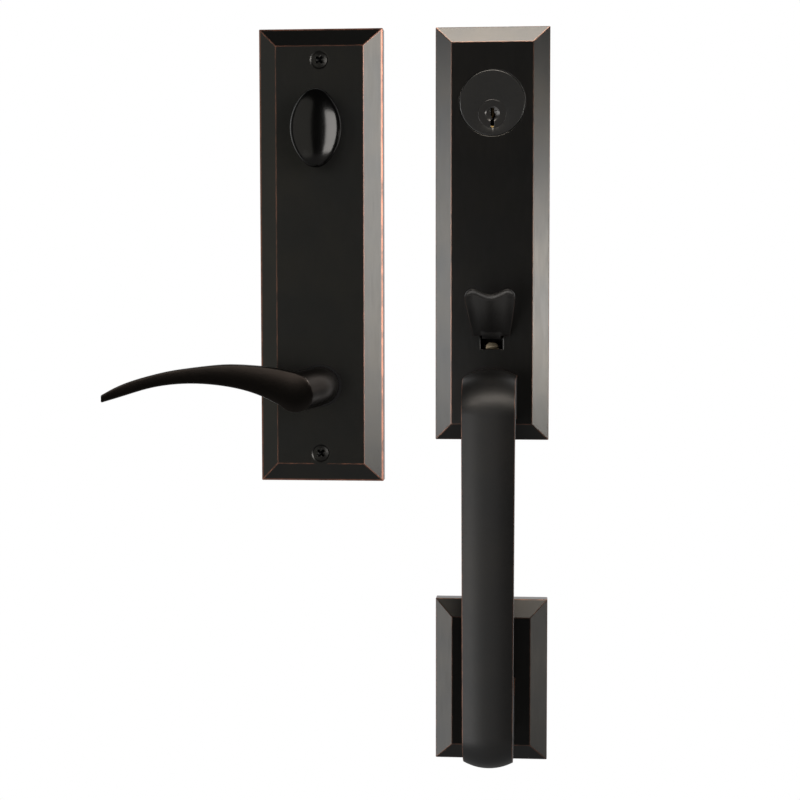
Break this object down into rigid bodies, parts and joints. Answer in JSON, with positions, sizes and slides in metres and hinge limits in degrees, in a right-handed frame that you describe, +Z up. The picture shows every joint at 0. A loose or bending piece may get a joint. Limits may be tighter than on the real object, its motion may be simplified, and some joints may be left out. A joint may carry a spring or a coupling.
{
  "type": "entry door handleset",
  "caption": "Entry door handleset in dark bronze: outside plate with thumb latch, key cylinder and bowed grip, inside plate with wave lever and oval thumbturn.",
  "frame": {"origin": "where the axis of the outside latch spindle crosses the face of the door", "axes": "+X to the right as seen from the front, +Z up, +Y into the door; both halves lie with their backs on the plane Y = 0, and their fronts face -Y"},
  "size_m": [0.2391, 0.14, 0.4049],
  "materials": {
    "dark_bronze": "oil-rubbed dark bronze, satin, worn to copper along the ridges",
    "lever_bronze": "oil-rubbed dark bronze, hand-polished satin",
    "grip_bronze": "oil-rubbed dark bronze, satin, brown worn edges",
    "screw_bronze": "dark bronze plated steel, satin",
    "cylinder_bronze": "dark bronze brass face, fine turned satin",
    "brass_bare": "bare machined brass, slightly tarnished",
    "zinc_steel": "zinc-plated pressed steel",
    "bolt_steel": "plain steel bolts, light oil",
    "spring_steel": "drawn spring wire",
    "bushing_nylon": "black bearing ring, matt"
  },
  "bodies": {
    "trim": {"exterior_plate": "dark_bronze", "lower_rosette": "dark_bronze", "interior_plate": "dark_bronze", "grip": "grip_bronze", "plate_screws": "screw_bronze", "cylinder_body": "cylinder_bronze", "cylinder_nut": "zinc_steel", "driver_pins": "brass_bare", "chamber_caps": "brass_bare", "pin_springs": "spring_steel", "latch_chassis": "zinc_steel", "chassis_screws": "zinc_steel", "mounting_posts": "bolt_steel", "thumb_pivot_pin": "bolt_steel", "hub_spring": "spring_steel", "grip_screws": "bolt_steel", "lower_stud": "bolt_steel", "neck_bushing": "bushing_nylon", "lever_spring": "spring_steel", "spring_cup": "zinc_steel", "lever_mount": "zinc_steel", "lever_bolts": "zinc_steel", "mounting_screws": "zinc_steel", "turn_mount": "zinc_steel", "turn_bolts": "zinc_steel"},
    "lever_body": {"lever": "lever_bronze", "lever_driver": "bolt_steel", "lever_snap_ring": "spring_steel"},
    "turn_body": {"thumbturn": "lever_bronze", "turn_clip": "spring_steel"},
    "plug_body": {"cylinder_plug": "cylinder_bronze", "key_pins": "brass_bare", "plug_cap": "brass_bare", "cylinder_tailpiece": "zinc_steel"},
    "thumb_body": {"thumbpiece": "lever_bronze"},
    "hub_body": {"spindle_hub": "brass_bare", "hub_clip": "spring_steel", "lift_cam": "bolt_steel", "latch_spindle": "bolt_steel"}
  },
  "joints": [
    {"name": "lever_turn", "type": "hinge", "parent": "trim", "child": "lever_body", "pos_m": [-0.0945, 0, -0.0082], "axis": [0, 1, 0], "range_deg": [-45, 45], "stiffness_Nm_per_rad": 2.5, "deforming": ["lever_spring"]},
    {"name": "thumbturn_turn", "type": "hinge", "parent": "trim", "child": "turn_body", "pos_m": [-0.0945, 0, 0.1315], "axis": [0, 1, 0], "range_deg": [-90, 90]},
    {"name": "plug_turn", "type": "hinge", "parent": "trim", "child": "plug_body", "pos_m": [0, 0, 0.1397], "axis": [0, 1, 0], "range_deg": [-90, 90]},
    {"name": "thumb_press", "type": "hinge", "parent": "trim", "child": "thumb_body", "pos_m": [0, -0.0065, 0.021], "axis": [1, 0, 0], "range_deg": [0, 20], "stiffness_Nm_per_rad": 0.6, "springref_deg": -8.59},
    {"name": "hub_turn", "type": "hinge", "parent": "trim", "child": "hub_body", "pos_m": [0, 0, 0], "axis": [0, 1, 0], "range_deg": [-27, 0], "stiffness_Nm_per_rad": 0.1, "springref_deg": 5.73, "deforming": ["hub_spring"]}
  ],
  "couplings": [
    {"joint": "hub_turn", "follows": "thumb_press", "ratio": -1.35}
  ]
}
